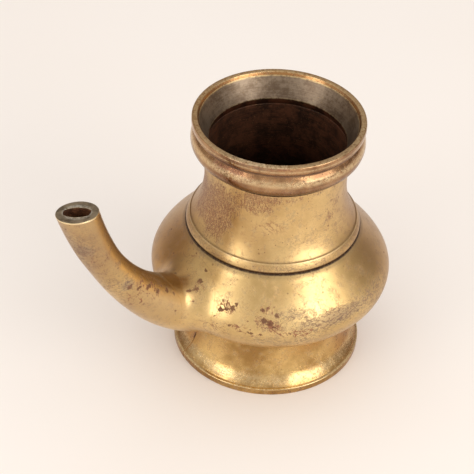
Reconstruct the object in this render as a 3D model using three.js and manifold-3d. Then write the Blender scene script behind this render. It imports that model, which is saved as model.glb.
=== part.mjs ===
import * as THREE from 'three';
import { mergeVertices } from 'three/addons/utils/BufferGeometryUtils.js';
import Module from 'manifold-3d';

// A footed brass water pot with a wide mouth and one curved spout.
// Millimetres, +Z up. Heights count from the ground, radii from the axis of the body.
// The spout points along +X.

const wasm = await Module();
wasm.setup();

const at = (r, z) => new THREE.Vector2(r, z);

// Driving sizes of the fit: brazed pieces stand this far apart
const GAP = 0.3;
const WALL = 2.3;
const BRAZE = 0.4;
const SIDES = 48;

// Foot: a flared ring with a plain band on the ground
const FOOT_R = 50;
const FOOT_BAND = 3.4;
const FOOT_STEP = 1.2;
const FOOT_WAIST_R = 41;
const FOOT_FLAT = 3.5;
const FLARE_LOW = 9;
const FLARE_HIGH = 17;
const FOOT_BEAD = 1.6;
const BUTT_ANGLE = THREE.MathUtils.degToRad(-11);
const BUTT_FILL = 0.6;

// Belly: an oval lower half and a sloping shoulder
const BELLY_R = 62.3;
const BELLY_Z = 52.5;
const BELLY_DROP = 30;
const SHOULDER_R = 44.7;
const SHOULDER_Z = 78;
const SHOULDER_BULGE = 7.2;

// Neck: a sloping band at its base, a waist, and a spigot for the mouth
const BAND_H = 4.4;
const BAND_IN = 2.4;
const BAND_STEP = 1.1;
const WAIST_R = 35.9;
const WAIST_UP = 28;
const NECK_TOP_UP = 41.6;
const NECK_TOP_R = 36.2;
const SPIGOT_H = 5.1;
const SPIGOT_STEP = 0.8;
const SPIGOT_WALL = 1.1;
const SOCKET_H = 3;
const SOCKET_WALL = 1.7;
const SOCKET_PLAY = 0.9;
const SEAT_W = 4.3;

// Mouth: a bead, a groove and a lip, 20.5 mm tall, with a sloping seat inside
const MOUTH_H = 20.5;
const BEAD_R = 43.2;
const BEAD_LOW = 3.8;
const BEAD_HIGH = 10.1;
const GROOVE_LOW = 13.8;
const LIP_R = 43;
const LIP_UNDER = 5.2;
const LIP_H = 3;
const LIP_EDGE = 0.8;
const GROOVE_IN = 1.8;
const LAND_IN = 2.8;
const SEAT_R = 39.35;
const THROAT_R = 34.25;
const SEAT_DEPTH = 12.6;
const SEAT_EDGE = 1.6;

// Spout: its middle line leaves the belly almost level and ends steep. The pulls bend it at both ends
const SPOUT_START = 50;
const SPOUT_Z = 49.5;
const SPOUT_REACH = 118;
const SPOUT_TIP_Z = 136.1;
const ROOT_PULL = at(7.6, 0.6);
const TIP_PULL = at(20.3, 70.2);
const ROOT_R = 14.8;
const TUBE_R = 8.7;
const TIP_R = 9.8;
const END_SLOPE_X = 0.062;
const END_SLOPE_Y = 0.152;
const BORE_R = 5.8;
const SLOT_LONG = 6.65;
const SLOT_SHORT = 4.05;
const SLOT_TURN = THREE.MathUtils.degToRad(-40);
const FILLET = 1;
const SPOUT_SIDES = 28;

const BRASS = 0xc39a55;
const DARK_BRASS = 0xa87a41;
const TARNISHED = 0xa98f64;
const FILLER = 0x8b7350;

// Heights that follow from the sizes above
const neckZ = SHOULDER_Z + GAP + BRAZE + GAP;
const neckTopZ = neckZ + NECK_TOP_UP;
const mouthZ = neckTopZ + GAP;
const lipZ = mouthZ + MOUTH_H;
const spigotR = NECK_TOP_R - SPIGOT_STEP;
const socketR = SHOULDER_R - SEAT_W;
const socketTopZ = neckZ + SOCKET_H - SOCKET_PLAY;

// Merges a geometry's seams and drops flat triangles, so that it is one closed skin
function closed(geometry) {
  geometry.deleteAttribute('normal');
  geometry.deleteAttribute('uv');
  const merged = mergeVertices(geometry, 1e-4);
  const index = merged.index.array;
  const kept = [];
  for (let i = 0; i < index.length; i += 3) {
    const [a, b, c] = [index[i], index[i + 1], index[i + 2]];
    if (a !== b && b !== c && c !== a) kept.push(a, b, c);
  }
  if (volume(merged.getAttribute('position'), kept) < 0) kept.reverse();
  merged.setIndex(kept);
  return merged;
}

function volume(position, index) {
  const [a, b, c] = [new THREE.Vector3(), new THREE.Vector3(), new THREE.Vector3()];
  let sum = 0;
  for (let i = 0; i < index.length; i += 3) {
    a.fromBufferAttribute(position, index[i]);
    b.fromBufferAttribute(position, index[i + 1]);
    c.fromBufferAttribute(position, index[i + 2]);
    sum += a.dot(b.cross(c));
  }
  return sum / 6;
}

// A closed geometry as a solid that can be cut and joined
function solid(geometry) {
  return new wasm.Manifold(new wasm.Mesh({
    numProp: 3,
    vertProperties: new Float32Array(geometry.getAttribute('position').array),
    triVerts: new Uint32Array(geometry.index.array),
  }));
}

function geometryOf(body) {
  const mesh = body.getMesh();
  const geometry = new THREE.BufferGeometry();
  geometry.setAttribute('position', new THREE.BufferAttribute(mesh.vertProperties, 3));
  geometry.setIndex(new THREE.BufferAttribute(mesh.triVerts, 1));
  return geometry;
}

// Turns an outline of radii and heights about the Z axis
function turned(outline, sides = SIDES) {
  const geometry = new THREE.LatheGeometry(outline, sides);
  geometry.rotateX(Math.PI / 2);
  return closed(geometry);
}

function ring(outline) {
  return turned([...outline, outline[0].clone()]);
}

function box(width, depth, height, x, y, z) {
  return closed(new THREE.BoxGeometry(width, depth, height).translate(x, y, z));
}

// The oval lower half of the belly, moved out by the given distance
function bowlCurve(out, steps) {
  const points = [];
  for (let i = 0; i <= steps; i++) {
    const turn = (i / steps) * Math.PI / 2;
    points.push(at((BELLY_R + out) * Math.sin(turn), BELLY_Z - (BELLY_DROP + out) * Math.cos(turn)));
  }
  points[0].x = 0;
  return points;
}

// The height of that lower half at a radius
function underBowl(r, out) {
  const share = r / (BELLY_R + out);
  return BELLY_Z - (BELLY_DROP + out) * Math.sqrt(1 - share * share);
}

// The shoulder from the widest ring up to the neck's seat, moved out by the given distance
function shoulderCurve(out, steps) {
  const rise = SHOULDER_Z - BELLY_Z;
  const [leanR, leanZ] = [0.8 * out, 0.6 * out];
  const curve = new THREE.CubicBezierCurve(
    at(BELLY_R + out, BELLY_Z),
    at(BELLY_R + out, BELLY_Z + 0.3 * rise),
    at(SHOULDER_R + SHOULDER_BULGE + leanR, BELLY_Z + 0.63 * rise + leanZ),
    at(SHOULDER_R + leanR, SHOULDER_Z + leanZ),
  );
  return curve.getPoints(steps).slice(1);
}

// The belly as a full solid, for what has to fit against it
function bellySolid(out) {
  const top = at(0, SHOULDER_Z + 0.6 * out);
  return solid(turned([...bowlCurve(out, 16), ...shoulderCurve(out, 8), top]));
}

// The body: one bowl with a level seat and a short spigot for the neck
function bodyBowl() {
  const ledgeZ = SHOULDER_Z - 0.8 * WALL;
  const outline = [
    ...bowlCurve(0, 14),
    ...shoulderCurve(0, 7),
    at(socketR, SHOULDER_Z),
    at(socketR, socketTopZ),
    at(socketR - SOCKET_WALL, socketTopZ),
    at(socketR - SOCKET_WALL, ledgeZ),
    ...shoulderCurve(-WALL, 7).reverse(),
    ...bowlCurve(-WALL, 12).reverse(),
  ];
  return solid(turned(outline));
}

// The neck's waisted wall, moved out by the given distance
function neckCurve(out) {
  const curve = new THREE.CubicBezierCurve(
    at(SHOULDER_R - BAND_IN + out, neckZ + BAND_H),
    at(WAIST_R + 2.2 + out, neckZ + 0.37 * WAIST_UP),
    at(WAIST_R + out, neckZ + 0.68 * WAIST_UP),
    at(WAIST_R + out, neckZ + WAIST_UP),
  );
  return curve.getPoints(6);
}

function neckCollar() {
  const spigotIn = spigotR - SPIGOT_WALL;
  const socketIn = socketR + GAP;
  return ring([
    at(socketIn, neckZ),
    at(SHOULDER_R, neckZ),
    at(SHOULDER_R - BAND_IN + BAND_STEP, neckZ + BAND_H - BAND_STEP),
    ...neckCurve(0),
    at(NECK_TOP_R, neckTopZ),
    at(spigotR, neckTopZ),
    at(spigotR, neckTopZ + SPIGOT_H),
    at(spigotIn, neckTopZ + SPIGOT_H),
    at(spigotIn, neckTopZ),
    ...neckCurve(-WALL).reverse(),
    at(socketIn, neckZ + SOCKET_H),
  ]);
}

function mouthRing() {
  const boreR = spigotR + GAP;
  const outerR = NECK_TOP_R + GAP;
  const grooveR = LIP_R - GROOVE_IN;
  const spigotTop = neckTopZ + SPIGOT_H + GAP;
  const bead = new THREE.CubicBezierCurve(
    at(outerR, mouthZ),
    at(BEAD_R + 2, mouthZ + BEAD_LOW),
    at(BEAD_R + 1, mouthZ + BEAD_HIGH),
    at(grooveR + 0.1, mouthZ + GROOVE_LOW),
  );
  return ring([
    at(boreR, mouthZ),
    ...bead.getPoints(8),
    at(grooveR, lipZ - LIP_UNDER),
    at(LIP_R - 0.5, lipZ - 0.5 * (LIP_UNDER + LIP_H)),
    at(LIP_R, lipZ - LIP_H),
    at(LIP_R, lipZ - LIP_EDGE),
    at(LIP_R - 0.3 * LIP_EDGE, lipZ - 0.3 * LIP_EDGE),
    at(LIP_R - LIP_EDGE, lipZ),
    at(LIP_R - LAND_IN, lipZ),
    at(SEAT_R, lipZ - SEAT_EDGE),
    at(THROAT_R, lipZ - SEAT_DEPTH),
    at(THROAT_R, spigotTop),
    at(boreR, spigotTop),
  ]);
}

function footRing() {
  const innerR = FOOT_WAIST_R - WALL;
  const flare = (out) => new THREE.CubicBezierCurve(
    at(FOOT_R - FOOT_STEP - 0.2 + out, FOOT_BAND + 0.8),
    at(FOOT_WAIST_R + 2.5 + out, FLARE_LOW),
    at(FOOT_WAIST_R + 0.2 + out, FLARE_HIGH),
    at(FOOT_WAIST_R + out, underBowl(FOOT_WAIST_R + out, GAP)),
  ).getPoints(6);
  return solid(ring([
    at(FOOT_R - FOOT_FLAT, 0),
    at(FOOT_R, 0),
    at(FOOT_R, FOOT_BAND),
    at(FOOT_R - FOOT_STEP, FOOT_BAND + 0.5),
    ...flare(0),
    at(innerR, underBowl(innerR, GAP)),
    ...flare(-WALL).reverse().slice(1),
  ]));
}

// A slot or strip through the foot's wall, at the butt joint where the foot's band closes
function buttSlot(width, lift) {
  const height = BELLY_Z;
  const slot = box(FOOT_R, width, height, FOOT_R, 0, height / 2 + lift);
  slot.rotateZ(BUTT_ANGLE);
  return solid(slot);
}

// Filler rings at the brazed joints
function mouthSeam() {
  const inner = NECK_TOP_R + GAP;
  return ring([
    at(inner, mouthZ - 1.4),
    at(inner + 0.8, mouthZ - 0.7),
    at(inner + 1.1, mouthZ - GAP),
    at(inner, mouthZ - GAP),
  ]);
}

function neckSeam() {
  const [low, high] = [SHOULDER_Z + GAP, neckZ - GAP];
  const [inner, outer] = [socketR + 2 * GAP, SHOULDER_R - 0.5];
  return ring([at(inner, low), at(outer, low), at(outer, high), at(inner, high)]);
}

function footSeam() {
  const [inner, outer] = [FOOT_WAIST_R + GAP, FOOT_WAIST_R + FOOT_BEAD];
  return ring([
    at(inner, underBowl(inner, GAP) - 0.8),
    at(outer, underBowl(outer, GAP)),
    at(inner, underBowl(inner, GAP)),
  ]);
}

// The spout's middle line in the XZ plane
const spoutPath = new THREE.CubicBezierCurve3(
  new THREE.Vector3(SPOUT_START, 0, SPOUT_Z),
  new THREE.Vector3(SPOUT_START + ROOT_PULL.x, 0, SPOUT_Z + ROOT_PULL.y),
  new THREE.Vector3(SPOUT_REACH - TIP_PULL.x, 0, SPOUT_TIP_Z - TIP_PULL.y),
  new THREE.Vector3(SPOUT_REACH, 0, SPOUT_TIP_Z),
);
const spoutLength = spoutPath.getLength();
const LEAD_IN = 12;
const OVERRUN = 6;

// Bends a piece that stands along Z onto the spout's middle line, straight past both ends
function bent(geometry) {
  const place = geometry.getAttribute('position');
  for (let i = 0; i < place.count; i++) {
    const along = place.getZ(i);
    const share = THREE.MathUtils.clamp(along / spoutLength, 0, 1);
    const way = spoutPath.getTangentAt(share);
    const point = spoutPath.getPointAt(share).addScaledVector(way, along - share * spoutLength);
    point.x += way.z * place.getX(i);
    point.y += place.getY(i);
    point.z -= way.x * place.getX(i);
    place.setXYZ(i, point.x, point.y, point.z);
  }
  return geometry;
}

// The spout's outside: a skirt on the belly, a tube, and a slightly flared end.
// The skirt is as wide as the room above the foot's filler allows
function spoutOuter(out) {
  const skirtR = SPOUT_Z - underBowl(FOOT_WAIST_R + FOOT_BEAD, GAP) - FILLET - 2 * GAP - BRAZE;
  const taper = new THREE.SplineCurve([
    at(0, skirtR),
    at(0.12, ROOT_R),
    at(0.22, 0.3 * TUBE_R + 0.7 * ROOT_R),
    at(0.4, 0.75 * TUBE_R + 0.25 * ROOT_R),
    at(0.62, TUBE_R),
    at(0.8, TUBE_R + 0.35 * (TIP_R - TUBE_R)),
    at(1, TIP_R),
  ]).getPoints(16);
  const outline = [at(0, -LEAD_IN), at(skirtR + out, -LEAD_IN)];
  for (const { x, y } of taper) outline.push(at(y + out, x * spoutLength));
  outline.push(at(TIP_R + out, spoutLength + OVERRUN), at(0, spoutLength + OVERRUN));
  return solid(bent(turned(outline, SPOUT_SIDES)));
}

// The bore: round inside the tube, drawn out to a turned slot at the end
function spoutBore() {
  const steps = 13;
  const outline = [at(0, -LEAD_IN)];
  for (let i = 0; i <= steps; i++) {
    outline.push(at(BORE_R, -LEAD_IN + (i / steps) * (spoutLength + LEAD_IN + 2 * OVERRUN)));
  }
  outline.push(at(0, spoutLength + 2 * OVERRUN));
  const straight = turned(outline, 20);
  straight.rotateZ(-SLOT_TURN);
  const place = straight.getAttribute('position');
  for (let i = 0; i < place.count; i++) {
    const near = THREE.MathUtils.smoothstep(place.getZ(i) / spoutLength, 0.75, 1);
    place.setX(i, place.getX(i) * (1 + (SLOT_LONG / BORE_R - 1) * near));
    place.setY(i, place.getY(i) * (1 + (SLOT_SHORT / BORE_R - 1) * near));
  }
  straight.rotateZ(SLOT_TURN);
  return solid(bent(straight));
}

// Everything above the spout's end, whose face leans a little to one side
function aboveTip() {
  const size = 60;
  const cutter = box(size, size, size, 0, 0, size / 2);
  const normal = new THREE.Vector3(-END_SLOPE_X, -END_SLOPE_Y, 1).normalize();
  cutter.applyQuaternion(new THREE.Quaternion().setFromUnitVectors(new THREE.Vector3(0, 0, 1), normal));
  cutter.translate(SPOUT_REACH, 0, SPOUT_TIP_Z);
  return solid(cutter);
}

const pot = new THREE.Group();

function add(name, shape, color, roughness) {
  const geometry = shape instanceof THREE.BufferGeometry ? shape : geometryOf(shape);
  const mesh = new THREE.Mesh(geometry, new THREE.MeshStandardMaterial({ color, roughness, metalness: 1 }));
  mesh.name = name;
  pot.add(mesh);
}

const bore = spoutBore();
const clearOfBelly = bellySolid(GAP);
const foot = footRing();
const filletZone = spoutOuter(GAP + FILLET).subtract(spoutOuter(GAP));
const filletSkin = bellySolid(GAP + FILLET).subtract(clearOfBelly);

add('body_bowl', bodyBowl().subtract(bore), BRASS, 0.35);
add('foot_ring', foot.subtract(buttSlot(BUTT_FILL + 2 * GAP, -1)), BRASS, 0.38);
add('foot_butt_seam', foot.intersect(buttSlot(BUTT_FILL, GAP)), FILLER, 0.6);
add('foot_seam', footSeam(), FILLER, 0.6);
add('neck_collar', neckCollar(), DARK_BRASS, 0.42);
add('neck_seam', neckSeam(), FILLER, 0.6);
add('mouth_ring', mouthRing(), TARNISHED, 0.36);
add('mouth_seam', mouthSeam(), FILLER, 0.6);
add('spout', spoutOuter(0).subtract(bore).subtract(clearOfBelly).subtract(aboveTip()), BRASS, 0.36);
add('spout_seam', filletZone.intersect(filletSkin), FILLER, 0.6);

// The origin is on the ground in the middle of the whole outline, so the body's axis is behind it
pot.position.x = -(SPOUT_REACH + TIP_R - BELLY_R) / 2;

export default pot;
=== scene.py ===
import math

import bpy
import numpy as np
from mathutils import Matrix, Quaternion, Vector


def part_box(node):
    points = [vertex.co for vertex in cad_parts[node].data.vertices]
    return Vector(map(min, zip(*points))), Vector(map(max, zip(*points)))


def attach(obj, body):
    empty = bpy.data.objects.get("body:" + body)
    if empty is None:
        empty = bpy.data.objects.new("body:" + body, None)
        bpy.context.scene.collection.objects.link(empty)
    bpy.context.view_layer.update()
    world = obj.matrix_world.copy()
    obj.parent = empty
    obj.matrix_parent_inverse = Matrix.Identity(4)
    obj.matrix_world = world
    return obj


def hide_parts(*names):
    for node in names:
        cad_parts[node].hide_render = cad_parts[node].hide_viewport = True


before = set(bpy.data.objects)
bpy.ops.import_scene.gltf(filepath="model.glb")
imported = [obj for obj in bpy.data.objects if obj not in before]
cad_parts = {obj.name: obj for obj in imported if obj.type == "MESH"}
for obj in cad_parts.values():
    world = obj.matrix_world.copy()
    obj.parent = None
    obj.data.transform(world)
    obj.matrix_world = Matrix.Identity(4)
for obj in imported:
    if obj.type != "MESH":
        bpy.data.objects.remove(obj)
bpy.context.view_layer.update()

# Foot ring: a flared brass band with a plain rim that stands on the ground, bent round, brazed at
# its ends and turned on a lathe. Its outline is drawn in radius and height, in millimetres, and
# turned about the pot's axis. The tools for turned pieces and for the brass itself are made here.
MM = 0.001
GAP = 0.3
WALL = 2.3
FOOT_R = 50
FOOT_BAND = 3.4
FOOT_STEP = 1.2
FOOT_WAIST_R = 41
FOOT_FLAT = 3.5
FLARE_LOW = 8.8
FLARE_HIGH = 13
FLARE_PULL = 3.2
FLARE_IN = 0.2
FLARE_UP = 0.8
STEP_RISE = 0.5
BELLY_R = 62.3
BELLY_Z = 52.5
BELLY_DROP = 30
low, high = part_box("neck_collar")
AXIS = ((low.x + high.x) / 2, 0, 0)


class Value:
    """An output socket that adds its Math nodes when it is used in an expression."""

    def __init__(self, tree, node, socket):
        self.tree, self.node, self.socket = tree, node, socket

    def of(self, name):
        return Value(self.tree, self.node, self.node.outputs[name])

    def __add__(self, other):
        return self.tree.math("ADD", self, other)

    def __sub__(self, other):
        return self.tree.math("SUBTRACT", self, other)

    def __rsub__(self, other):
        return self.tree.math("SUBTRACT", other, self)

    def __mul__(self, other):
        return self.tree.math("MULTIPLY", self, other)

    def __truediv__(self, other):
        return self.tree.math("DIVIDE", self, other)

    def __pow__(self, other):
        return self.tree.math("POWER", self, other)

    __radd__ = __add__
    __rmul__ = __mul__

    def clamped(self):
        return self.tree.math("MINIMUM", self.tree.math("MAXIMUM", self, 0), 1)


class Tree:
    """Adds nodes to a node tree: the settings first, then the values or links of the sockets."""

    def __init__(self, tree):
        self.tree = tree
        tree.nodes.clear()

    def node(self, kind, settings=None, *ordered, **named):
        made = self.tree.nodes.new(kind)
        for key, value in (settings or {}).items():
            setattr(made, key, value)
        inputs = [s for s in made.inputs if s.enabled]
        pairs = list(zip(inputs, ordered))
        for key, value in named.items():
            pairs.append((next(s for s in inputs if key in (s.identifier, s.name.replace(" ", "_"))), value))
        for socket, value in pairs:
            if isinstance(value, Value):
                self.tree.links.new(value.socket, socket)
            elif value is not None:
                socket.default_value = value
        outputs = [s for s in made.outputs if s.enabled]
        return Value(self, made, outputs[0] if outputs else None)

    def mix(self, share, a, b):
        return self.node("ShaderNodeMix", {"data_type": "RGBA"}, Factor_Float=share, A_Color=a, B_Color=b)

    def math(self, operation, *values):
        return self.node("ShaderNodeMath", {"operation": operation}, *values)

    def vector(self, operation, *values, output="Vector"):
        return self.node("ShaderNodeVectorMath", {"operation": operation}, *values).of(output)

    def scaled(self, vector, scale):
        return self.node("ShaderNodeVectorMath", {"operation": "SCALE"}, vector, Scale=scale)

    def joined(self, x, y, z):
        return self.node("ShaderNodeCombineXYZ", None, x, y, z)

    def step(self, value, low, high):
        """0 at low and 1 at high, with a smooth rise between them."""
        smooth = {"interpolation_type": "SMOOTHSTEP"}
        return self.node("ShaderNodeMapRange", smooth, value, low, high, 0.0, 1.0)


def group(name, inputs):
    """A Geometry Nodes tree with named inputs, and the node that gives them."""
    made = bpy.data.node_groups.new(name, "GeometryNodeTree")
    made.interface.new_socket("Geometry", in_out="INPUT", socket_type="NodeSocketGeometry")
    for label, kind in inputs.items():
        made.interface.new_socket(label, in_out="INPUT", socket_type="NodeSocket" + kind)
    made.interface.new_socket("Geometry", in_out="OUTPUT", socket_type="NodeSocketGeometry")
    tree = Tree(made)
    return tree, tree.node("NodeGroupInput")


DENT_SCALE = 32.0
DENT_RISE = 120.0
WELD = 2e-6
SHARP_EDGE = math.radians(38)


def turning():
    """Turns an outline in the XZ plane about the Z axis, with soft dents."""
    tree, given = group("Turned", {
        "Sides": "Int", "Axis": "Vector", "Dent": "Float", "Outside": "Material", "Inside": "Material"})
    outline, sides = given.of("Geometry"), given.of("Sides")
    count = tree.node("GeometryNodeAttributeDomainSize", {"component": "MESH"}, outline).of("Point Count")
    rows = count + 1
    grid = tree.node("GeometryNodeMeshGrid", None, 1.0, 1.0, sides + 1, rows)
    index = tree.node("GeometryNodeInputIndex")
    column = tree.math("FLOOR", (index + 0.5) / rows)
    point = tree.math("MODULO", index - column * rows, count)
    point = tree.math("ROUND", point)
    sample = {"data_type": "FLOAT_VECTOR", "domain": "POINT"}
    position = tree.node("GeometryNodeInputPosition")
    outline_place = tree.node("GeometryNodeSampleIndex", sample, outline, position, point)
    mark = tree.node("GeometryNodeInputNamedAttribute", {"data_type": "FLOAT"}, "inside")
    inner = tree.node("GeometryNodeSampleIndex", {**sample, "data_type": "FLOAT"}, outline, mark, point)
    apart = tree.node("ShaderNodeSeparateXYZ", None, outline_place)
    turn = column / sides * math.tau
    aim = tree.joined(tree.math("COSINE", turn), tree.math("SINE", turn), 0.0)
    wall = tree.vector("ADD", tree.scaled(aim, apart.of("X")), tree.joined(0.0, 0.0, apart.of("Z")))
    dents = tree.node("ShaderNodeTexNoise", None, Vector=wall, Scale=DENT_SCALE, Detail=1.0)
    off_axis = (apart.of("X") * DENT_RISE).clamped()
    dented = tree.scaled(aim, dents * given.of("Dent") * off_axis * -1)
    place = tree.vector("ADD", tree.vector("ADD", wall, dented), given.of("Axis"))
    shaped = tree.node("GeometryNodeSetPosition", None, grid, Position=place)
    marked = tree.node("GeometryNodeStoreNamedAttribute", {"data_type": "FLOAT", "domain": "POINT"},
                       shaped, Name="inside", Value=inner)
    whole = tree.node("GeometryNodeMergeByDistance", None, marked, Distance=WELD)
    smooth = tree.node("GeometryNodeSetShadeSmooth", None, whole)
    coated = tree.node("GeometryNodeSetMaterial", None, smooth, Material=given.of("Outside"))
    inside = tree.math("GREATER_THAN", mark, 0.5)
    lined = tree.node("GeometryNodeSetMaterial", None, coated, Selection=inside, Material=given.of("Inside"))
    tree.node("NodeGroupOutput", None, tree.node("GeometryNodeRealizeInstances", None, lined))
    return tree.tree


TURNING = turning()


def mesh_of(name, points, edges, faces):
    made = bpy.data.meshes.new(name)
    made.from_pydata(points, edges, faces)
    return made


def placed(name, data):
    """A new object in the scene, at the origin."""
    made = bpy.data.objects.new(name, data)
    bpy.context.scene.collection.objects.link(made)
    return made


def shaped_mesh(worker):
    """The plain mesh that an object's modifiers make. The object is removed."""
    graph = bpy.context.evaluated_depsgraph_get()
    made = bpy.data.meshes.new_from_object(worker.evaluated_get(graph), depsgraph=graph)
    bpy.data.objects.remove(worker)
    return made


def baked(name, source, tree, values):
    """The plain mesh that a Geometry Nodes tree makes of a source mesh."""
    worker = placed(name + "_worker", source)
    modifier = worker.modifiers.new("shape", "NODES")
    modifier.node_group = tree
    sockets = {i.name: i.identifier for i in tree.interface.items_tree if i.in_out == "INPUT"}
    for label, value in values.items():
        modifier[sockets[label]] = value
    return shaped_mesh(worker)


def piece_of(name, mesh, slot, *nodes):
    """A finished piece, riding on the pot and standing for its CAD nodes."""
    mesh.name = name
    piece = placed(name, mesh)
    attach(piece, "root")
    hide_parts(*nodes)
    return piece


def turned(name, outline, outside, inside, lined=lambda r, z: 0.0, sides=176, axis=AXIS, dent=0.14):
    """The mesh of a turned piece. Points for which lined gives more than a half take the inside finish."""
    count = len(outline)
    edges = [(i, (i + 1) % count) for i in range(count)]
    source = mesh_of(name + "_outline", [(r * MM, 0, z * MM) for r, z in outline], edges, [])
    mark = source.attributes.new("inside", "FLOAT", "POINT")
    mark.data.foreach_set("value", [float(lined(r, z)) for r, z in outline])
    made = baked(name, source, TURNING, {
        "Sides": sides, "Axis": axis, "Dent": dent * MM, "Outside": outside, "Inside": inside})
    made.set_sharp_from_angle(angle=SHARP_EDGE)
    return made


def bezier(a, b, c, d, steps):
    """Points of a cubic curve from a to d."""
    made = []
    for i in range(steps + 1):
        t = i / steps
        s = 1 - t
        made.append(tuple(s**3 * p + 3 * s * s * t * q + 3 * s * t * t * r + t**3 * e
                          for p, q, r, e in zip(a, b, c, d)))
    return made


def eased(corners, radius=0.4, steps=4):
    """A closed outline with its corners rounded off by up to the given radius."""
    points = [np.array(c, float) for c in corners]
    made = []
    for i, here in enumerate(points):
        before, after = points[i - 1] - here, points[(i + 1) % len(points)] - here
        reach = np.linalg.norm(before), np.linalg.norm(after)
        if here[0] < 1e-6 or before @ after / (reach[0] * reach[1]) < -0.95:
            made.append(tuple(here))
            continue
        cut = min(radius, 0.45 * min(reach))
        a, b = here + before / reach[0] * cut, here + after / reach[1] * cut
        for j in range(steps + 1):
            t = j / steps
            made.append(tuple((1 - t) ** 2 * a + 2 * t * (1 - t) * here + t * t * b))
    return made


def within(wall):
    """Says which points lie inside a wall, given by its outer points in rising height."""
    radii, heights = np.array(wall).T
    return lambda r, z: r < np.interp(z, heights, radii) - 0.5 * WALL


def rgb(red, green, blue):
    """A colour as a screen shows it, 0 to 255, in the linear form that sockets take."""
    def linear(level):
        return level / 12.92 if level <= 0.04045 else ((level + 0.055) / 1.055) ** 2.4
    return linear(red / 255), linear(green / 255), linear(blue / 255), 1


GOLD = rgb(231, 200, 142)
OLIVE = rgb(206, 174, 118)
AMBER = rgb(190, 136, 72)
TAN = rgb(168, 138, 104)
RED_BROWN = rgb(158, 100, 68)
PLUM = rgb(106, 74, 64)
GREY_BROWN = rgb(150, 130, 106)
DULL_BROWN = rgb(126, 100, 78)
RUST = rgb(108, 62, 38)
GRIME_AND_SHADE = rgb(64, 42, 26)
WEAR_AND_HIGHLIGHT = rgb(250, 226, 178)
# Painted shade: the brown laid on the sides of the pot turned away from the camera.
FAR_SIDE_SHADE = rgb(164, 124, 80)
CUT_DARK = rgb(92, 82, 68)
CUT_GREY = rgb(146, 132, 110)
CUT_PALE = rgb(212, 208, 196)
RUST_DARK = rgb(70, 38, 24)
RUST_PALE = rgb(124, 68, 40)
# The camera's side of the pot; the sides turned away from it are painted darker, as shade.
CAMERA_SIDE = math.radians(48)


class Finish(Tree):
    """A surface finish in layers, on Object coordinates in millimetres about the pot's axis."""

    def __init__(self, name):
        self.material = bpy.data.materials.new(name)
        self.material.use_nodes = True
        super().__init__(self.material.node_tree)
        centred = self.vector("SUBTRACT", self.node("ShaderNodeTexCoord").of("Object"), AXIS)
        self.place = self.scaled(centred, 1 / MM)
        apart = self.node("ShaderNodeSeparateXYZ", None, self.place)
        x, y, self.z = apart.of("X"), apart.of("Y"), apart.of("Z")
        self.radius = (x * x + y * y) ** 0.5
        self.angle = self.math("ARCTAN2", y, x)

    def noise(self, scale, detail=3.0, roughness=0.55, at=None, offset=(0, 0, 0), twist=0.0):
        """Noise about a half, with scale in features per millimetre."""
        return self.node("ShaderNodeTexNoise", None, Vector=self.vector("ADD", at or self.place, offset),
                         Scale=scale, Detail=detail, Roughness=roughness, Distortion=twist)

    def spots(self, places, moved=(0, 0, 0)):
        """Soft spots, each given by its place, its reach along X, Y and Z, and its strength."""
        total = 0.0
        here = self.vector("ADD", self.place, moved)
        for (x, y, z), size, strength in places:
            away = self.vector("SUBTRACT", here, (x - AXIS[0] / MM, y, z))
            far = self.vector("LENGTH", self.vector("DIVIDE", away, size), output="Value")
            total = self.step(far, 1.0, 0.3) * strength + total
        return total

    def bands(self, places):
        """Soft lines round the piece, each given by its height, half its width and its strength."""
        total = 0.0
        for height, width, strength in places:
            total = self.step(self.math("ABSOLUTE", self.z - height), width, 0.15 * width) * strength + total
        return total

    def done(self, color, rough, metal, height, depth):
        bump = self.node("ShaderNodeBump", None, Strength=1.0, Distance=depth * MM, Height=height)
        shader = self.node("ShaderNodeBsdfPrincipled", None, Base_Color=color, Roughness=rough,
                           Metallic=metal, Normal=bump)
        self.node("ShaderNodeOutputMaterial", None, shader)
        return self.material


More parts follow.
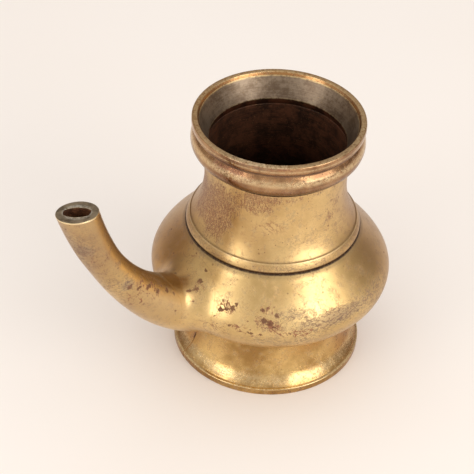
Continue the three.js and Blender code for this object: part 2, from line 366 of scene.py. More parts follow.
class Brass(Finish):
    """Cast and turned brass, laid up in layers from the bare metal to the grime on it, with painted shade and
    painted highlights among them. The film says how much the layers dull the metal, and the relief how far
    they stand up or lie deep."""

    def __init__(self, name, light, dark):
        super().__init__(name)
        self.lines = self.noise(1.6, 2.0, 0.6, self.joined(self.angle * 1.2, self.radius, self.z))
        self.tone = self.noise(0.045, 3.0, 0.5)
        self.cloud = self.noise(0.22, 4.0, 0.6, offset=(17, 3, 8))
        self.mottle = self.noise(0.7, 5.0, 0.65, offset=(5, 31, 2))
        self.grain = self.noise(1.9, 3.0, 0.7, offset=(9, 2, 21))
        upright = self.vector("MULTIPLY", self.place, (1.5, 1.5, 0.45))
        self.streaks = self.noise(0.9, 5.0, 0.72, upright, (3, 1, 9), 0.4)
        self.color = self.mix(self.step(self.tone + (self.cloud - 0.5) * 0.5, 0.3, 0.7), dark, light)
        self.film = 0.0
        self.relief = 0.0

    def layer(self, where, color, cover, film=0.0, relief=0.0):
        """Lays a colour over the brass, and adds to its film and its relief."""
        self.color = self.mix((where * cover).clamped(), self.color, color)
        if film:
            self.film = where * film + self.film
        if relief:
            self.relief = where * relief + self.relief

    def speckled(self, low, high, first, second):
        """Two colours, mixed by the fine grain."""
        return self.mix(self.step(self.grain, low, high), first, second)

    def near_half(self, noise, wide, narrow):
        """Thin curled lines, where a noise passes through a half."""
        return self.step(self.math("ABSOLUTE", noise - 0.5), wide, narrow)

    def warmed_and_shaded(self, amber_and_shade_zones, tans):
        """Zones with a warmer, darker tone, painted shade where they lie under the belly, on the pot's sides
        and at the spout's root; and zones that are paler and duller.
        """
        if amber_and_shade_zones:
            self.layer(self.spots(amber_and_shade_zones) * (0.35 + 0.7 * self.cloud), AMBER, 1.0)
        if tans:
            self.layer(self.spots(tans) * (0.7 + 0.5 * self.cloud), TAN, 1.0)

    def far_side_shade_and_haze(self):
        """Painted shade: a brown darkening on the sides turned away from the camera, for the darker limbs and
        back; and a thin haze all over.
        """
        turned_away = 1 - self.math("COSINE", self.angle - CAMERA_SIDE)
        far_side_shade = self.step(turned_away + (self.cloud - 0.5) * 0.5, 0.15, 0.95)
        self.layer(far_side_shade, FAR_SIDE_SHADE, 0.75)
        haze = self.step(self.cloud + (self.mottle - 0.5) * 0.7, 0.5, 0.74)
        self.layer(haze, GREY_BROWN, 0.35, 0.35, 0.1)

    def patched(self, patches):
        """Red-brown patches with upright streaks."""
        dappled = (self.streaks - 0.5) * 1.9 + (self.grain - 0.5) * 1.1 + (self.cloud - 0.5) * 0.8
        ragged = self.step(self.spots(patches) * 0.8 + dappled, 0.42, 0.84)
        ragged = ragged * self.step(self.grain + self.streaks, 0.78, 1.08)
        self.layer(ragged, self.speckled(0.42, 0.62, RED_BROWN, PLUM), 0.76, 1.0, 0.3)

    def tarnished(self, greys):
        """Cloudy grey tarnish, crossed by wavy darker lines."""
        grey = self.spots(greys)
        level = self.vector("MULTIPLY", self.place, (1, 1, 2.2))
        flat = self.noise(0.5, 6.0, 0.7, level, (11, 4, 6), 0.5)
        worn = self.step(grey * 0.5 + (flat - 0.5) * 1.8, 0.2, 0.6) * grey
        self.layer(worn, self.speckled(0.4, 0.6, GREY_BROWN, DULL_BROWN), 0.35, 1.0, 0.2)
        level = self.vector("MULTIPLY", self.place, (1, 1, 2.4))
        waves = self.near_half(self.noise(0.17, 4.0, 0.6, level, (1, 9, 4), 1.4), 0.055, 0.02)
        self.layer(waves * self.step(self.mottle, 0.36, 0.5) * grey, DULL_BROWN, 0.75, 1.0, -0.2)

    def stained(self, stains):
        """Thin curled lines and small blots of rust brown."""
        curls = self.near_half(self.noise(0.11, 2.0, 0.6, offset=(4.4, 2, 7.7), twist=1.6), 0.035, 0.016)
        curls = curls * self.step(self.mottle, 0.42, 0.5)
        blots = self.step(self.noise(0.5, 4.0, 0.7, offset=(7, 7, 1), twist=1.0), 0.6, 0.66)
        marks = (self.math("MAXIMUM", curls, blots) * self.spots(stains)).clamped()
        self.layer(marks, self.speckled(0.4, 0.6, RUST, RED_BROWN), 0.9, 2.0, -0.4)

    def scarred(self, scars):
        """Small dark marks with ragged edges, each in its own place."""
        ragged = self.node("ShaderNodeTexNoise", None, Vector=self.place, Scale=0.55, Detail=3.0).of("Color")
        moved = self.scaled(self.vector("SUBTRACT", ragged, (0.5, 0.5, 0.5)), 3.0)
        scar = self.step(self.spots(scars, moved) + (self.streaks - 0.5) * 1.1, 0.28, 0.7)
        self.layer(scar, self.speckled(0.45, 0.7, RUST, GRIME_AND_SHADE), 0.85, 1.6, -0.5)

    def flecked(self):
        """Single pits of two sizes, and a few hairline scratches gone brown."""
        for size, share, offset in ((0.42, 0.66, 0), (0.2, 0.72, 3)):
            moved = self.vector("ADD", self.place, (offset, 1, 2))
            cells = self.node("ShaderNodeTexVoronoi", None, Vector=moved, Scale=size)
            chosen = self.node("ShaderNodeSeparateColor", None, cells.of("Color"))
            pit = self.step(cells + (self.grain - 0.5) * 0.2, 0.15, 0.06)
            self.layer(pit * self.step(chosen, share, share + 0.06), RUST, 0.8, 1.5, -0.6)
        scratches = self.near_half(self.noise(0.45, 5.0, 0.7, offset=(2, 5, 13), twist=0.8), 0.016, 0.004)
        self.layer(scratches * self.step(self.cloud, 0.4, 0.56), RED_BROWN, 0.6, 0.0, -0.4)

    def worn_and_lit_edges(self, edges):
        """Edges worn bright, and bands of painted highlight where the lamps shine on the foot, the bead and
        the edges.
        """
        bright = (self.bands(edges) * self.step(self.mottle, 0.3, 0.55)).clamped()
        self.layer(bright, WEAR_AND_HIGHLIGHT, 0.7, -0.4)

    def cut(self, point, aim):
        """A cut face gone grey, with a paler ring round its bore and a bright outer rim, worn and partly a
        painted highlight.
        """
        off = self.vector("SUBTRACT", self.place, (point[0] - AXIS[0] / MM, point[1], point[2]))
        depth = self.vector("DOT_PRODUCT", off, aim, output="Value")
        face = self.step(depth, -0.35, -0.1)
        far = self.vector("LENGTH", off, output="Value")
        ring = self.step(far + (self.mottle - 0.5) * 3, 7.6, 6.2) * self.step(self.mottle, 0.4, 0.56)
        grey = self.mix(self.step(self.cloud, 0.35, 0.6), CUT_DARK, CUT_GREY)
        self.layer(face, self.mix(ring * 0.75, grey, CUT_PALE), 0.9, 1.0)
        self.layer(self.step(self.math("ABSOLUTE", depth + 0.55), 0.5, 0.2), WEAR_AND_HIGHLIGHT, 0.8, -0.5)

    def grime_and_shade_in_grooves(self, shade_and_grime_bands):
        """Painted shade in grooves, under steps and beside joints, with real grime there too."""
        groove_shade_and_grime = (self.bands(shade_and_grime_bands) * (0.55 + 0.9 * self.mottle)).clamped()
        self.layer(groove_shade_and_grime, GRIME_AND_SHADE, 1.0, 2.0)

    def finished(self, dull):
        """The finished material: a satin skin with turning lines, duller where film lies on it."""
        rough = (0.31 + dull) + (self.mottle - 0.5) * 0.1 + (self.lines - 0.5) * 0.06 + self.film * 0.14
        metal = (1 - self.film * 0.3).clamped()
        height = self.lines * 0.3 + self.mottle * 0.12 + self.tone * 2.0 + self.cloud * 0.8 + self.relief
        return self.done(self.color, rough.clamped(), metal, height, 0.04)


def brass(name, patches=(), stains=(), scars=(), greys=(), amber_and_shade_zones=(), tans=(), shade_and_grime_bands=(), edges=(),
          end=None, light=GOLD, dark=OLIVE, dull=0.0):
    """A brass between a light and a dark tone, with the marks that are given by their places."""
    metal = Brass(name, light, dark)
    metal.warmed_and_shaded(amber_and_shade_zones, tans)
    metal.far_side_shade_and_haze()
    if patches:
        metal.patched(patches)
    if greys:
        metal.tarnished(greys)
    if stains:
        metal.stained(stains)
    if scars:
        metal.scarred(scars)
    metal.flecked()
    if edges:
        metal.worn_and_lit_edges(edges)
    if end:
        metal.cut(*end)
    if shade_and_grime_bands:
        metal.grime_and_shade_in_grooves(shade_and_grime_bands)
    return metal.finished(dull)


def lining(name, thin, thick, base_rough, metal, edges=(), rust_below=None):
    """The inner skin, never cleaned: a dark film over the metal, in rings and runs, with lighter edges that
    are partly worn and partly painted highlights.
    """
    f = Finish(name)
    lines = f.noise(1.6, 3.0, 0.6, f.joined(f.angle * 1.5, f.radius, f.z))
    cloud = f.noise(0.12, 4.0, 0.6, offset=(8, 2, 5))
    mottle = f.noise(0.7, 5.0, 0.7, offset=(1, 14, 3))
    fleck = f.step(f.noise(1.7, 2.0, 0.5, offset=(6, 6, 1)), 0.66, 0.72)
    share = f.step(cloud + (mottle - 0.5) * 0.7 + (lines - 0.5) * 0.5, 0.3, 0.72)
    color = f.mix(fleck * 0.4, f.mix(share, thick, thin), OLIVE)
    if edges:
        color = f.mix((f.bands(edges) * f.step(mottle, 0.3, 0.6)).clamped() * 0.7, color, GOLD)
    if rust_below:
        low = f.step(f.z + (mottle - 0.5) * 1.5, rust_below, rust_below - 0.8)
        color = f.mix(low * 0.9, color, f.mix(f.step(cloud, 0.4, 0.6), RUST_DARK, RUST_PALE))
    rough = base_rough + (mottle - 0.5) * 0.2 + (lines - 0.5) * 0.15
    metallic = (metal + fleck * 0.3).clamped()
    return f.done(color, rough.clamped(), metallic, lines * 0.7 + mottle * 1.2, 0.05)


def under_belly(r, out=0.0):
    """The height of the belly's oval lower half at a radius."""
    share = r / (BELLY_R + out)
    return BELLY_Z - (BELLY_DROP + out) * math.sqrt(1 - share * share)


def flare(out, steps=28):
    top_r = FOOT_WAIST_R + out
    return bezier((FOOT_R - FOOT_STEP - FLARE_IN + out, FOOT_BAND + FLARE_UP),
                  (FOOT_WAIST_R + FLARE_PULL + out, FLARE_LOW), (FOOT_WAIST_R + FLARE_IN + out, FLARE_HIGH),
                  (top_r, under_belly(top_r, GAP)), steps)


# Painted shade: the foot's darker tone and its amber zones, for the shade under the belly and on its sides,
# and the dark band at its top under the belly. Painted highlight: the broad bright band low on the flare; the
# bright line on the rim's top edge is wear and highlight together.
foot_brass = brass(
    "foot_brass", light=rgb(224, 188, 124), dark=rgb(164, 128, 76), dull=-0.09,
    patches=[((17, 6, 2), (16, 30, 3.2), 0.75), ((-10, 46, 1.5), (30, 16, 3), 0.75),
             ((-66, 36, 2), (26, 20, 3.4), 0.7), ((9.6, -9, 13), (1.6, 1.4, 4.5), 1.6)],
    stains=[((6, -12, 20), (12, 12, 14), 1.0)],
    greys=[((16, 26, 4), (26, 26, 7), 0.5)],
    amber_and_shade_zones=[((4, -22, 14), (30, 24, 24), 1.1), ((-66, 34, 12), (32, 30, 24), 1.2),
            ((-32, 48, 24), (60, 14, 9), 0.8)],
    shade_and_grime_bands=[(29.9, 1.8, 0.9)],
    edges=[(3.5, 0.5, 1.0), (6.8, 3.2, 0.45)])
inner_brown = lining("inner_brown", rgb(112, 74, 50), rgb(58, 38, 26), 0.5, 0.4)
foot_outline = eased([
    (FOOT_R - FOOT_FLAT, 0), (FOOT_R, 0), (FOOT_R, FOOT_BAND), (FOOT_R - FOOT_STEP, FOOT_BAND + STEP_RISE),
    *flare(0), *flare(-WALL)[::-1]])
foot_mesh = turned("foot", foot_outline, foot_brass, inner_brown, within([(FOOT_R, 0.5), *flare(0)]))
piece_of("foot", foot_mesh, "brass_body", "foot_ring")

# Foot joints: braze filler in the foot's upright closing joint, where its band was bent round, and
# a thin run of filler where the foot meets the underside of the belly. Both are dull and dark.
BUTT_ANGLE = math.radians(-11)
BUTT_FILL = 0.6
BUTT_PROUD = 0.05
BUTT_SHY = 0.02
BUTT_INSIDE = 0.2
FOOT_BEAD = 1.6
BEAD_SHY = 0.15
BEAD_HANG = 0.8


def filler(name, thin, thick, gash=None):
    """Braze filler: a rough, dark yellow metal with black flux left in its pores, and in an open gash."""
    f = Finish(name)
    mottle = f.noise(1.1, 5.0, 0.7)
    pores = f.step(f.noise(2.6, 2.0, 0.6, offset=(4, 7, 1)), 0.58, 0.7)
    if gash:
        pores = (pores + f.step(f.z, gash[0], gash[0] + 2.5) * f.step(f.z, gash[1], gash[1] - 2.5)).clamped()
    color = f.mix(pores, f.mix(f.step(mottle, 0.35, 0.65), thick, thin), GRIME_AND_SHADE)
    rough = 0.42 + mottle * 0.3 + pores * 0.1
    return f.done(color, rough.clamped(), (0.8 - pores * 0.4).clamped(), mottle * 2 - pores, 0.06)


dark_filler = filler("dark_filler", rgb(120, 92, 58), rgb(58, 42, 28))
joint_filler = filler("joint_filler", rgb(196, 154, 100), rgb(168, 128, 82), gash=(10, 15.5))


def butt_strip():
    """The filler between the foot's two ends, as a thin plate that follows the foot's outline."""
    half = 0.5 * BUTT_FILL
    rim_r = FOOT_R - BUTT_SHY
    outline = [(FOOT_R - FOOT_FLAT + BUTT_INSIDE, GAP), (rim_r, GAP), (rim_r, FOOT_BAND),
               (FOOT_R - FOOT_STEP + BUTT_PROUD, FOOT_BAND + STEP_RISE),
               *[(r + BUTT_PROUD, z) for r, z in flare(0)[:-1]],
               *[(r + BUTT_INSIDE, z) for r, z in flare(-WALL)[:-1][::-1]]]
    turn, count = (math.cos(BUTT_ANGLE), math.sin(BUTT_ANGLE)), len(outline)
    points = [((r * turn[0] - side * turn[1]) * MM + AXIS[0], (r * turn[1] + side * turn[0]) * MM, z * MM)
              for side in (-half, half) for r, z in outline]
    faces = [tuple(range(count)), tuple(range(2 * count - 1, count - 1, -1))]
    faces += [(i, i + count, (i + 1) % count + count, (i + 1) % count) for i in range(count)]
    made = mesh_of("foot_joint", points, [], faces)
    made.materials.append(joint_filler)
    return made


piece_of("foot_joint", butt_strip(), "braze", "foot_butt_seam")
bead_in, bead_out = FOOT_WAIST_R + BEAD_SHY, FOOT_WAIST_R + FOOT_BEAD
bead_top = under_belly(bead_in, GAP)
bead_outline = eased([(bead_in, bead_top - BEAD_HANG), (bead_out, under_belly(bead_out, GAP)),
                      (bead_in, bead_top)], 0.3)
piece_of("foot_braze", turned("foot_braze", bead_outline, dark_filler, dark_filler), "braze", "foot_seam")

# Belly: one deep bowl with a sloping shoulder, turned all over. A level seat and a short spigot at
# its top take the neck, and a round hole under the spout lets the water out.
SHOULDER_R = 44.7
SHOULDER_Z = 78
SHOULDER_BULGE = 7.2
BRAZE = 0.4
SOCKET_H = 3
SOCKET_WALL = 1.7
SOCKET_PLAY = 0.9
SEAT_W = 4.3
BOWL_STEPS = 60
SHOULDER_STEPS = 44
neck_z = SHOULDER_Z + GAP + BRAZE + GAP
socket_r = SHOULDER_R - SEAT_W


def bowl(out):
    quarter = math.pi / 2
    turns = [i / BOWL_STEPS * quarter for i in range(BOWL_STEPS + 1)]
    return [((BELLY_R + out) * math.sin(t), BELLY_Z - (BELLY_DROP + out) * math.cos(t)) for t in turns]


def shoulder(out):
    rise = SHOULDER_Z - BELLY_Z
    lean_r, lean_z = 0.8 * out, 0.6 * out
    return bezier((BELLY_R + out, BELLY_Z), (BELLY_R + out, BELLY_Z + 0.3 * rise),
                  (SHOULDER_R + SHOULDER_BULGE + lean_r, BELLY_Z + 0.63 * rise + lean_z),
                  (SHOULDER_R + lean_r, SHOULDER_Z + lean_z), SHOULDER_STEPS)[1:]


belly_wall = bowl(0) + shoulder(0)
belly_marks = dict(
    patches=[((9, 42, 60), (5, 5, 4), 0.6), ((4, 47, 58), (5, 5, 4), 0.6), ((-16, 56, 47), (60, 20, 5), 0.35),
             ((4, 46, 57), (14, 12, 6), 0.4), ((76, 2, 100), (46, 24, 54), 0.5),
             ((-33, 0, 54), (95, 95, 44), 0.3), ((20, 2, 68), (7, 8, 6), 0.5)],
    stains=[((17, 27, 63), (9, 7, 4.5), 1.3), ((21, 9, 65), (8, 7, 5), 1.3), ((5, 46, 59), (9, 7, 6), 1.2),
            ((-6, 55, 54), (18, 10, 4), 1.0), ((53, 8, 79), (18, 9, 12), 1.2), ((14, -8, 74), (8, 8, 8), 0.8),
            ((24, 24, 50), (10, 16, 6), 0.8), ((18, 35, 55.4), (8, 8, 3), 0.9),
            ((12, 43, 53.4), (8, 8, 2.6), 1.1), ((3, 50, 54.6), (9, 6, 2.4), 1.0),
            ((4, 43, 65), (7, 7, 4), 0.8)],
    scars=[((16.9, 37.1, 53.9), (1.6, 1.6, 0.9), 0.7), ((10.3, 44.6, 53.6), (2, 2, 0.8), 0.8),
           ((-1.5, 53.5, 54.6), (2.2, 2, 0.7), 0.7), ((4, 47.8, 57.4), (2.2, 2.2, 1.3), 0.8),
           ((3.6, 41.7, 65.4), (1.5, 1.5, 1.1), 0.6), ((22.9, 24.4, 57.7), (1.2, 1.2, 1.2), 0.6),
           ((20, 25, 61.4), (2.4, 2.4, 1.5), 1.0), ((18.2, 27.3, 62), (2, 2, 1.3), 1.0),
           ((16, 29.6, 63), (2, 2, 1.6), 1.0), ((14.2, 30, 65), (1.4, 1.4, 1.8), 0.9),
           ((7.4, 43.4, 60), (2.6, 2.6, 2), 1.0), ((5.2, 45.8, 59.4), (2.6, 2.6, 1.8), 1.0),
           ((1.6, 46.4, 62.5), (2, 2, 2.2), 0.7), ((6, 40.6, 64.6), (2.4, 2.4, 1.1), 0.7),
           ((13.8, 41, 53.8), (3.4, 3.4, 1), 0.8), ((19.4, 32, 56), (2, 2, 1.4), 0.7),
           ((23.6, 10.4, 66.2), (3.2, 2.6, 2), 0.72), ((20.6, 9, 68.5), (3, 2.6, 2), 0.72),
           ((27.5, 9.6, 66.2), (2.8, 2.2, 1.6), 0.7), ((16, 7.5, 72.4), (1.5, 1.5, 1.4), 0.85),
           ((26, 18.9, 54.7), (1.4, 1.4, 1.2), 0.8), ((63, 9, 86.4), (3, 3, 2), 0.7),
           ((57.6, 9.1, 83.2), (3.4, 2.4, 1.3), 0.95), ((51.4, 8.4, 80.2), (3.2, 2.4, 1.3), 0.95),
           ((46.8, 9, 75.4), (1.7, 2, 2.2), 0.8), ((40.6, 8.6, 72.4), (2, 2, 1.8), 0.7),
           ((37, 9.2, 69.4), (1.4, 2, 1.8), 0.6), ((28, -1.6, 69), (2.6, 1.6, 1.4), 0.6)],
    greys=[((-22, 56, 57), (34, 16, 8), 1.1), ((-4, 50, 63), (16, 12, 3.4), 0.9),
           ((-30, 60, 58), (16, 10, 6), 0.4), ((-54, 54, 56), (26, 18, 11), 0.9),
           ((2, 50, 49), (40, 22, 5), 0.8), ((86, 6, 118), (7, 7, 6), 0.9), ((64, 9, 88), (6, 6, 5), 0.8)],
    tans=[((92, 2, 116), (46, 26, 50), 0.75), ((52, 10, 70), (34, 22, 26), 0.55)],
    # Painted shade: the amber zones on the left side and in the corner at the spout's root.
    amber_and_shade_zones=[((26, -2, 62), (12, 14, 16), 0.7), ((10, -22, 66), (30, 26, 22), 1.0),
            ((38, -8, 38), (26, 20, 12), 0.6)])
# Painted shade, with grime, under the neck's band along the seam on the shoulder.
shoulder_line = [(SHOULDER_Z - 0.1, 0.8, 0.65), (SHOULDER_Z - 0.8, 2.2, 0.35)]
belly_brass = brass("belly_brass", shade_and_grime_bands=shoulder_line, **belly_marks)
ledge_z = SHOULDER_Z - 0.8 * WALL
socket_top = neck_z + SOCKET_H - SOCKET_PLAY
belly_outline = eased([
    *belly_wall, (socket_r, SHOULDER_Z), (socket_r, socket_top), (socket_r - SOCKET_WALL, socket_top),
    (socket_r - SOCKET_WALL, ledge_z), *shoulder(-WALL)[::-1], *bowl(-WALL)[::-1]])
belly_mesh = turned("belly", belly_outline, belly_brass, inner_brown, within(belly_wall), sides=208)

# Spout: a thick tube, bent in one sweep from a level root to a steep end. It is drawn straight,
# turned about Z, and bent onto its middle line. Its bore is round and drawn out to a slot at the end.
SPOUT_START = 50
SPOUT_Z = 49.5
SPOUT_REACH = 118
SPOUT_TIP_Z = 136.1
ROOT_PULL = (7.6, 0.6)
TIP_PULL = (20.3, 70.2)
SKIRT_R = 17.2
ROOT_R = 14.8
TUBE_R = 8.7
TIP_R = 9.8
END_SLOPE_X = 0.062
END_SLOPE_Y = 0.152
BORE_R = 5.8
SLOT_LONG = 6.65
SLOT_SHORT = 4.05
SLOT_TURN = math.radians(-40)
LEAD_IN = 12
LEAN_REACH = 25
SINK = 0.7
ROOT_RINGS = 22.0
FIRST_RING = 8
OUTER_RINGS = 126
BORE_RINGS = 70
BORE_START = 14
END_EDGE = [(0.08, 0.3), (0.3, 0.05), (0.7, 0)]
FAR_OUT = 45.0
HALVINGS = 40
LOOK = 0.05
path = np.array(bezier((SPOUT_START, 0, SPOUT_Z), (SPOUT_START + ROOT_PULL[0], 0, SPOUT_Z + ROOT_PULL[1]),
                       (SPOUT_REACH - TIP_PULL[0], 0, SPOUT_TIP_Z - TIP_PULL[1]),
                       (SPOUT_REACH, 0, SPOUT_TIP_Z), 400))
path_at = np.concatenate([[0], np.cumsum(np.linalg.norm(np.diff(path, axis=0), axis=1))])
spout_length = float(path_at[-1])
tip_aim = (path[-1] - path[-2]) / np.linalg.norm(path[-1] - path[-2])


def point_at(s):
    return np.array([np.interp(s, path_at, path[:, k]) for k in range(3)])


def on_path(s):
    """The middle line's point and direction a distance along it, straight past both ends."""
    inside = np.clip(s, 0, spout_length)
    ahead = point_at(np.clip(inside + LOOK, 2 * LOOK, spout_length))
    back = point_at(np.clip(inside - LOOK, 0, spout_length - 2 * LOOK))
    aim = (ahead - back) / np.linalg.norm(ahead - back)
    return point_at(inside) + aim * (s - inside), aim


def beside_path(s, across, y):
    point, aim = on_path(s)
    return point + np.array([aim[2], 0, -aim[0]]) * across + np.array([0, y, 0])


def catmull(stations, steps):
    """Points of a smooth line through the stations."""
    points = [np.array(p, float) for p in stations]
    made = []
    for i in range(steps + 1):
        reach = i / steps * (len(points) - 1)
        k = min(int(reach), len(points) - 2)
        t = reach - k
        p0, p1, p2 = points[max(k - 1, 0)], points[k], points[k + 1]
        p3 = points[min(k + 2, len(points) - 1)]
        made.append(0.5 * (2 * p1 + (p2 - p0) * t + (2 * p0 - 5 * p1 + 4 * p2 - p3) * t * t
                           + (3 * p1 - p0 - 3 * p2 + p3) * t**3))
    return np.array(made)


taper = catmull([(0, SKIRT_R), (0.12, ROOT_R), (0.22, 0.3 * TUBE_R + 0.7 * ROOT_R),
                 (0.4, 0.75 * TUBE_R + 0.25 * ROOT_R), (0.62, TUBE_R), (0.8, 0.65 * TUBE_R + 0.35 * TIP_R),
                 (1, TIP_R)], 160)


def tube_r(s):
    return float(np.interp(s / spout_length, taper[:, 0], taper[:, 1]))


belly_radii, belly_heights = np.array(belly_wall).T


def outside_belly(point, out=0.0):
    """How far a point lies outside the belly's skin, measured level."""
    return math.hypot(point[0], point[1]) - out - float(np.interp(point[2], belly_heights, belly_radii))


def leaves_belly(across, y, out=0.0):
    """Where a line beside the middle line comes out of the belly's skin."""
    inner, outer = -LEAD_IN, FAR_OUT
    for _ in range(HALVINGS):
        middle = 0.5 * (inner + outer)
        if outside_belly(beside_path(middle, across, y), out) > 0:
            outer = middle
        else:
            inner = middle
    return outer


def bending():
    """Bends a piece that stands along Z onto the spout's middle line, and draws its bore to a slot."""
    tree, given = group("Bent", {
        "Axis": "Vector", "Start": "Vector", "Root_pull": "Vector", "Tip_pull": "Vector", "Tip": "Vector",
        "Length": "Float", "Bore": "Float", "Slot_long": "Float", "Slot_short": "Float", "Slot_turn": "Float",
        "Lean_across": "Float", "Lean_side": "Float", "Lean_reach": "Float"})
    place = tree.node("ShaderNodeSeparateXYZ", None, tree.node("GeometryNodeInputPosition"))
    x, y, z = place.of("X"), place.of("Y"), place.of("Z")
    length, bore, turn = given.of("Length"), given.of("Bore"), given.of("Slot_turn")
    mark = tree.node("GeometryNodeInputNamedAttribute", {"data_type": "FLOAT"}, "inside")
    near = tree.step(z, length * 0.75, length) * tree.math("GREATER_THAN", mark, 0.5)
    cos, sin = tree.math("COSINE", turn), tree.math("SINE", turn)
    far_x = (x * cos + y * sin) * (1 + (given.of("Slot_long") / bore - 1) * near)
    far_y = (y * cos - x * sin) * (1 + (given.of("Slot_short") / bore - 1) * near)
    across, side = far_x * cos - far_y * sin, far_x * sin + far_y * cos
    leaning = tree.step(z, length - given.of("Lean_reach"), length)
    along = z + (across * given.of("Lean_across") + side * given.of("Lean_side")) * leaning
    held = tree.math("MAXIMUM", tree.math("MINIMUM", along, length), 0.0)
    line = tree.node("GeometryNodeCurvePrimitiveBezierSegment", {"mode": "POSITION"}, 256, given.of("Start"),
                     given.of("Root_pull"), given.of("Tip_pull"), given.of("Tip"))
    there = tree.node("GeometryNodeSampleCurve", {"mode": "LENGTH", "data_type": "FLOAT"}, line, Length=held)
    aim = there.of("Tangent")
    parts = tree.node("ShaderNodeSeparateXYZ", None, aim)
    out = tree.joined(parts.of("Z") * across, side, parts.of("X") * across * -1)
    past = tree.vector("ADD", there.of("Position"), tree.scaled(aim, along - held))
    final = tree.vector("ADD", tree.vector("ADD", past, out), given.of("Axis"))
    shaped = tree.node("GeometryNodeSetPosition", None, given.of("Geometry"), Position=final)
    tree.node("NodeGroupOutput", None, tree.node("GeometryNodeRealizeInstances", None, shaped))
    return tree.tree


end_aim = np.array([-END_SLOPE_X, -END_SLOPE_Y, 1])
end_aim /= np.linalg.norm(end_aim)
lean_across = -float(end_aim @ [tip_aim[2], 0, -tip_aim[0]]) / float(end_aim @ tip_aim)
lean_side = -float(end_aim[1]) / float(end_aim @ tip_aim)
tip_place = (SPOUT_REACH + AXIS[0] / MM, 0, SPOUT_TIP_Z)
belly_marks["greys"] += [((88, 0, 116), (16, 16, 26), 0.9), ((70, 8, 88), (14, 10, 14), 0.6),
                         ((42, -4, 70), (26, 12, 14), 1.0)]
spout_brass = brass("spout_brass", end=(tip_place, tuple(end_aim)), **belly_marks)
bore_rust = lining("bore_rust", rgb(150, 98, 64), rgb(70, 42, 28), 0.6, 0.3)
outer = [(tube_r(-LEAD_IN), -LEAD_IN)]
outer += [(tube_r(s), s) for s in np.linspace(FIRST_RING, spout_length - 0.6, OUTER_RINGS)]
outer += [(TIP_R - cut, spout_length - down) for cut, down in END_EDGE]
inner = [(BORE_R + 0.5, spout_length), (BORE_R + 0.1, spout_length - 0.2)]
inner += [(BORE_R, s) for s in np.linspace(spout_length - 0.8, BORE_START, BORE_RINGS)] + [(BORE_R, -LEAD_IN)]
straight = turned("spout_straight", outer + inner, spout_brass, bore_rust, lambda r, z: r < BORE_R + 0.2,
                  sides=112, axis=(0, 0, 0), dent=0.1)
for vertex in straight.vertices:
    x, y, z = (c / MM for c in vertex.co)
    if z < ROOT_RINGS:
        vertex.co.z = max(z, leaves_belly(x, y, -SINK)) * MM
bend = {"Axis": AXIS, "Start": path[0] * MM, "Tip": path[-1] * MM,
        "Root_pull": (path[0] + (ROOT_PULL[0], 0, ROOT_PULL[1])) * MM,
        "Tip_pull": (path[-1] - (TIP_PULL[0], 0, TIP_PULL[1])) * MM}
bend = {label: tuple(map(float, place)) for label, place in bend.items()}
sizes = {"Length": spout_length * MM, "Bore": BORE_R * MM, "Slot_long": SLOT_LONG * MM,
         "Slot_short": SLOT_SHORT * MM, "Slot_turn": SLOT_TURN, "Lean_across": lean_across,
         "Lean_side": lean_side, "Lean_reach": LEAN_REACH * MM}
spout_mesh = baked("spout", straight, bending(), {**bend, **sizes})
spout_mesh.set_sharp_from_angle(angle=SHARP_EDGE)
piece_of("spout", spout_mesh, "brass_body", "spout")


def bored(mesh):
    """The belly with the round hole under the spout."""
    sides = 48
    ends = (-8, 24)
    points = [beside_path(s, BORE_R * math.cos(a), BORE_R * math.sin(a)) * MM + np.array(AXIS)
              for s in ends for a in np.arange(sides) / sides * math.tau]
    faces = [tuple(range(sides))[::-1], tuple(range(sides, 2 * sides))]
    faces += [(i, (i + 1) % sides, (i + 1) % sides + sides, i + sides) for i in range(sides)]
    drill = placed("drill", mesh_of("drill", [tuple(p) for p in points], [], faces))
    blank = placed("blank", mesh)
    cut = blank.modifiers.new("hole", "BOOLEAN")
    cut.object, cut.operation, cut.solver = drill, "DIFFERENCE", "EXACT"
    made = shaped_mesh(blank)
    bpy.data.objects.remove(drill)
    return made


piece_of("belly", bored(belly_mesh), "brass_body", "body_bowl")

# Spout root: the braze that joins the spout to the belly, filed to a broad soft fillet, so that
# no line shows. Each section runs from the belly's skin to the tube, and is closed inside the wall.
FILLET_SIDES = 144
FILLET_STEPS = 22
FILLET_SPREAD = 9.0
SPREAD_ABOVE = 1.5
SPREAD_BELOW = -5.0
FILLET_ALONG = 9.0
ALONG_ABOVE = 12.0
ALONG_BELOW = 8.0
PULL_IN = 0.5
PULL_BACK = 0.6
SKIN = 0.03
EDGE_OUT = 0.05
EDGE_DEEP = 0.4
BACK_IN = 0.6
HIDDEN = 0.9
FILLET_SHARP = math.radians(50)


def belly_normal(point):
    near = 0.2
    slope = (np.interp(point[2] + near, belly_heights, belly_radii)
             - np.interp(point[2] - near, belly_heights, belly_radii)) / (2 * near)
    level = math.hypot(point[0], point[1])
    normal = np.array([point[0] / level, point[1] / level, -slope])
    return normal / np.linalg.norm(normal)


def on_belly(point, out=0.0):
    level = math.hypot(point[0], point[1])
    radius = float(np.interp(point[2], belly_heights, belly_radii)) + out
    return np.array([point[0] * radius / level, point[1] * radius / level, point[2]])


def clear_of_both(point):
    """The point, lifted until it lies a little outside the belly and the tube."""
    short = SKIN - outside_belly(point)
    if short > 0:
        point = point + belly_normal(point) * short
    s = float(path_at[np.argmin(np.linalg.norm(path - point, axis=1))])
    middle, aim = on_path(s)
    off = point - middle
    off -= aim * (off @ aim)
    reach = np.linalg.norm(off)
    return point + off / reach * max(0, tube_r(s) + SKIN - reach)


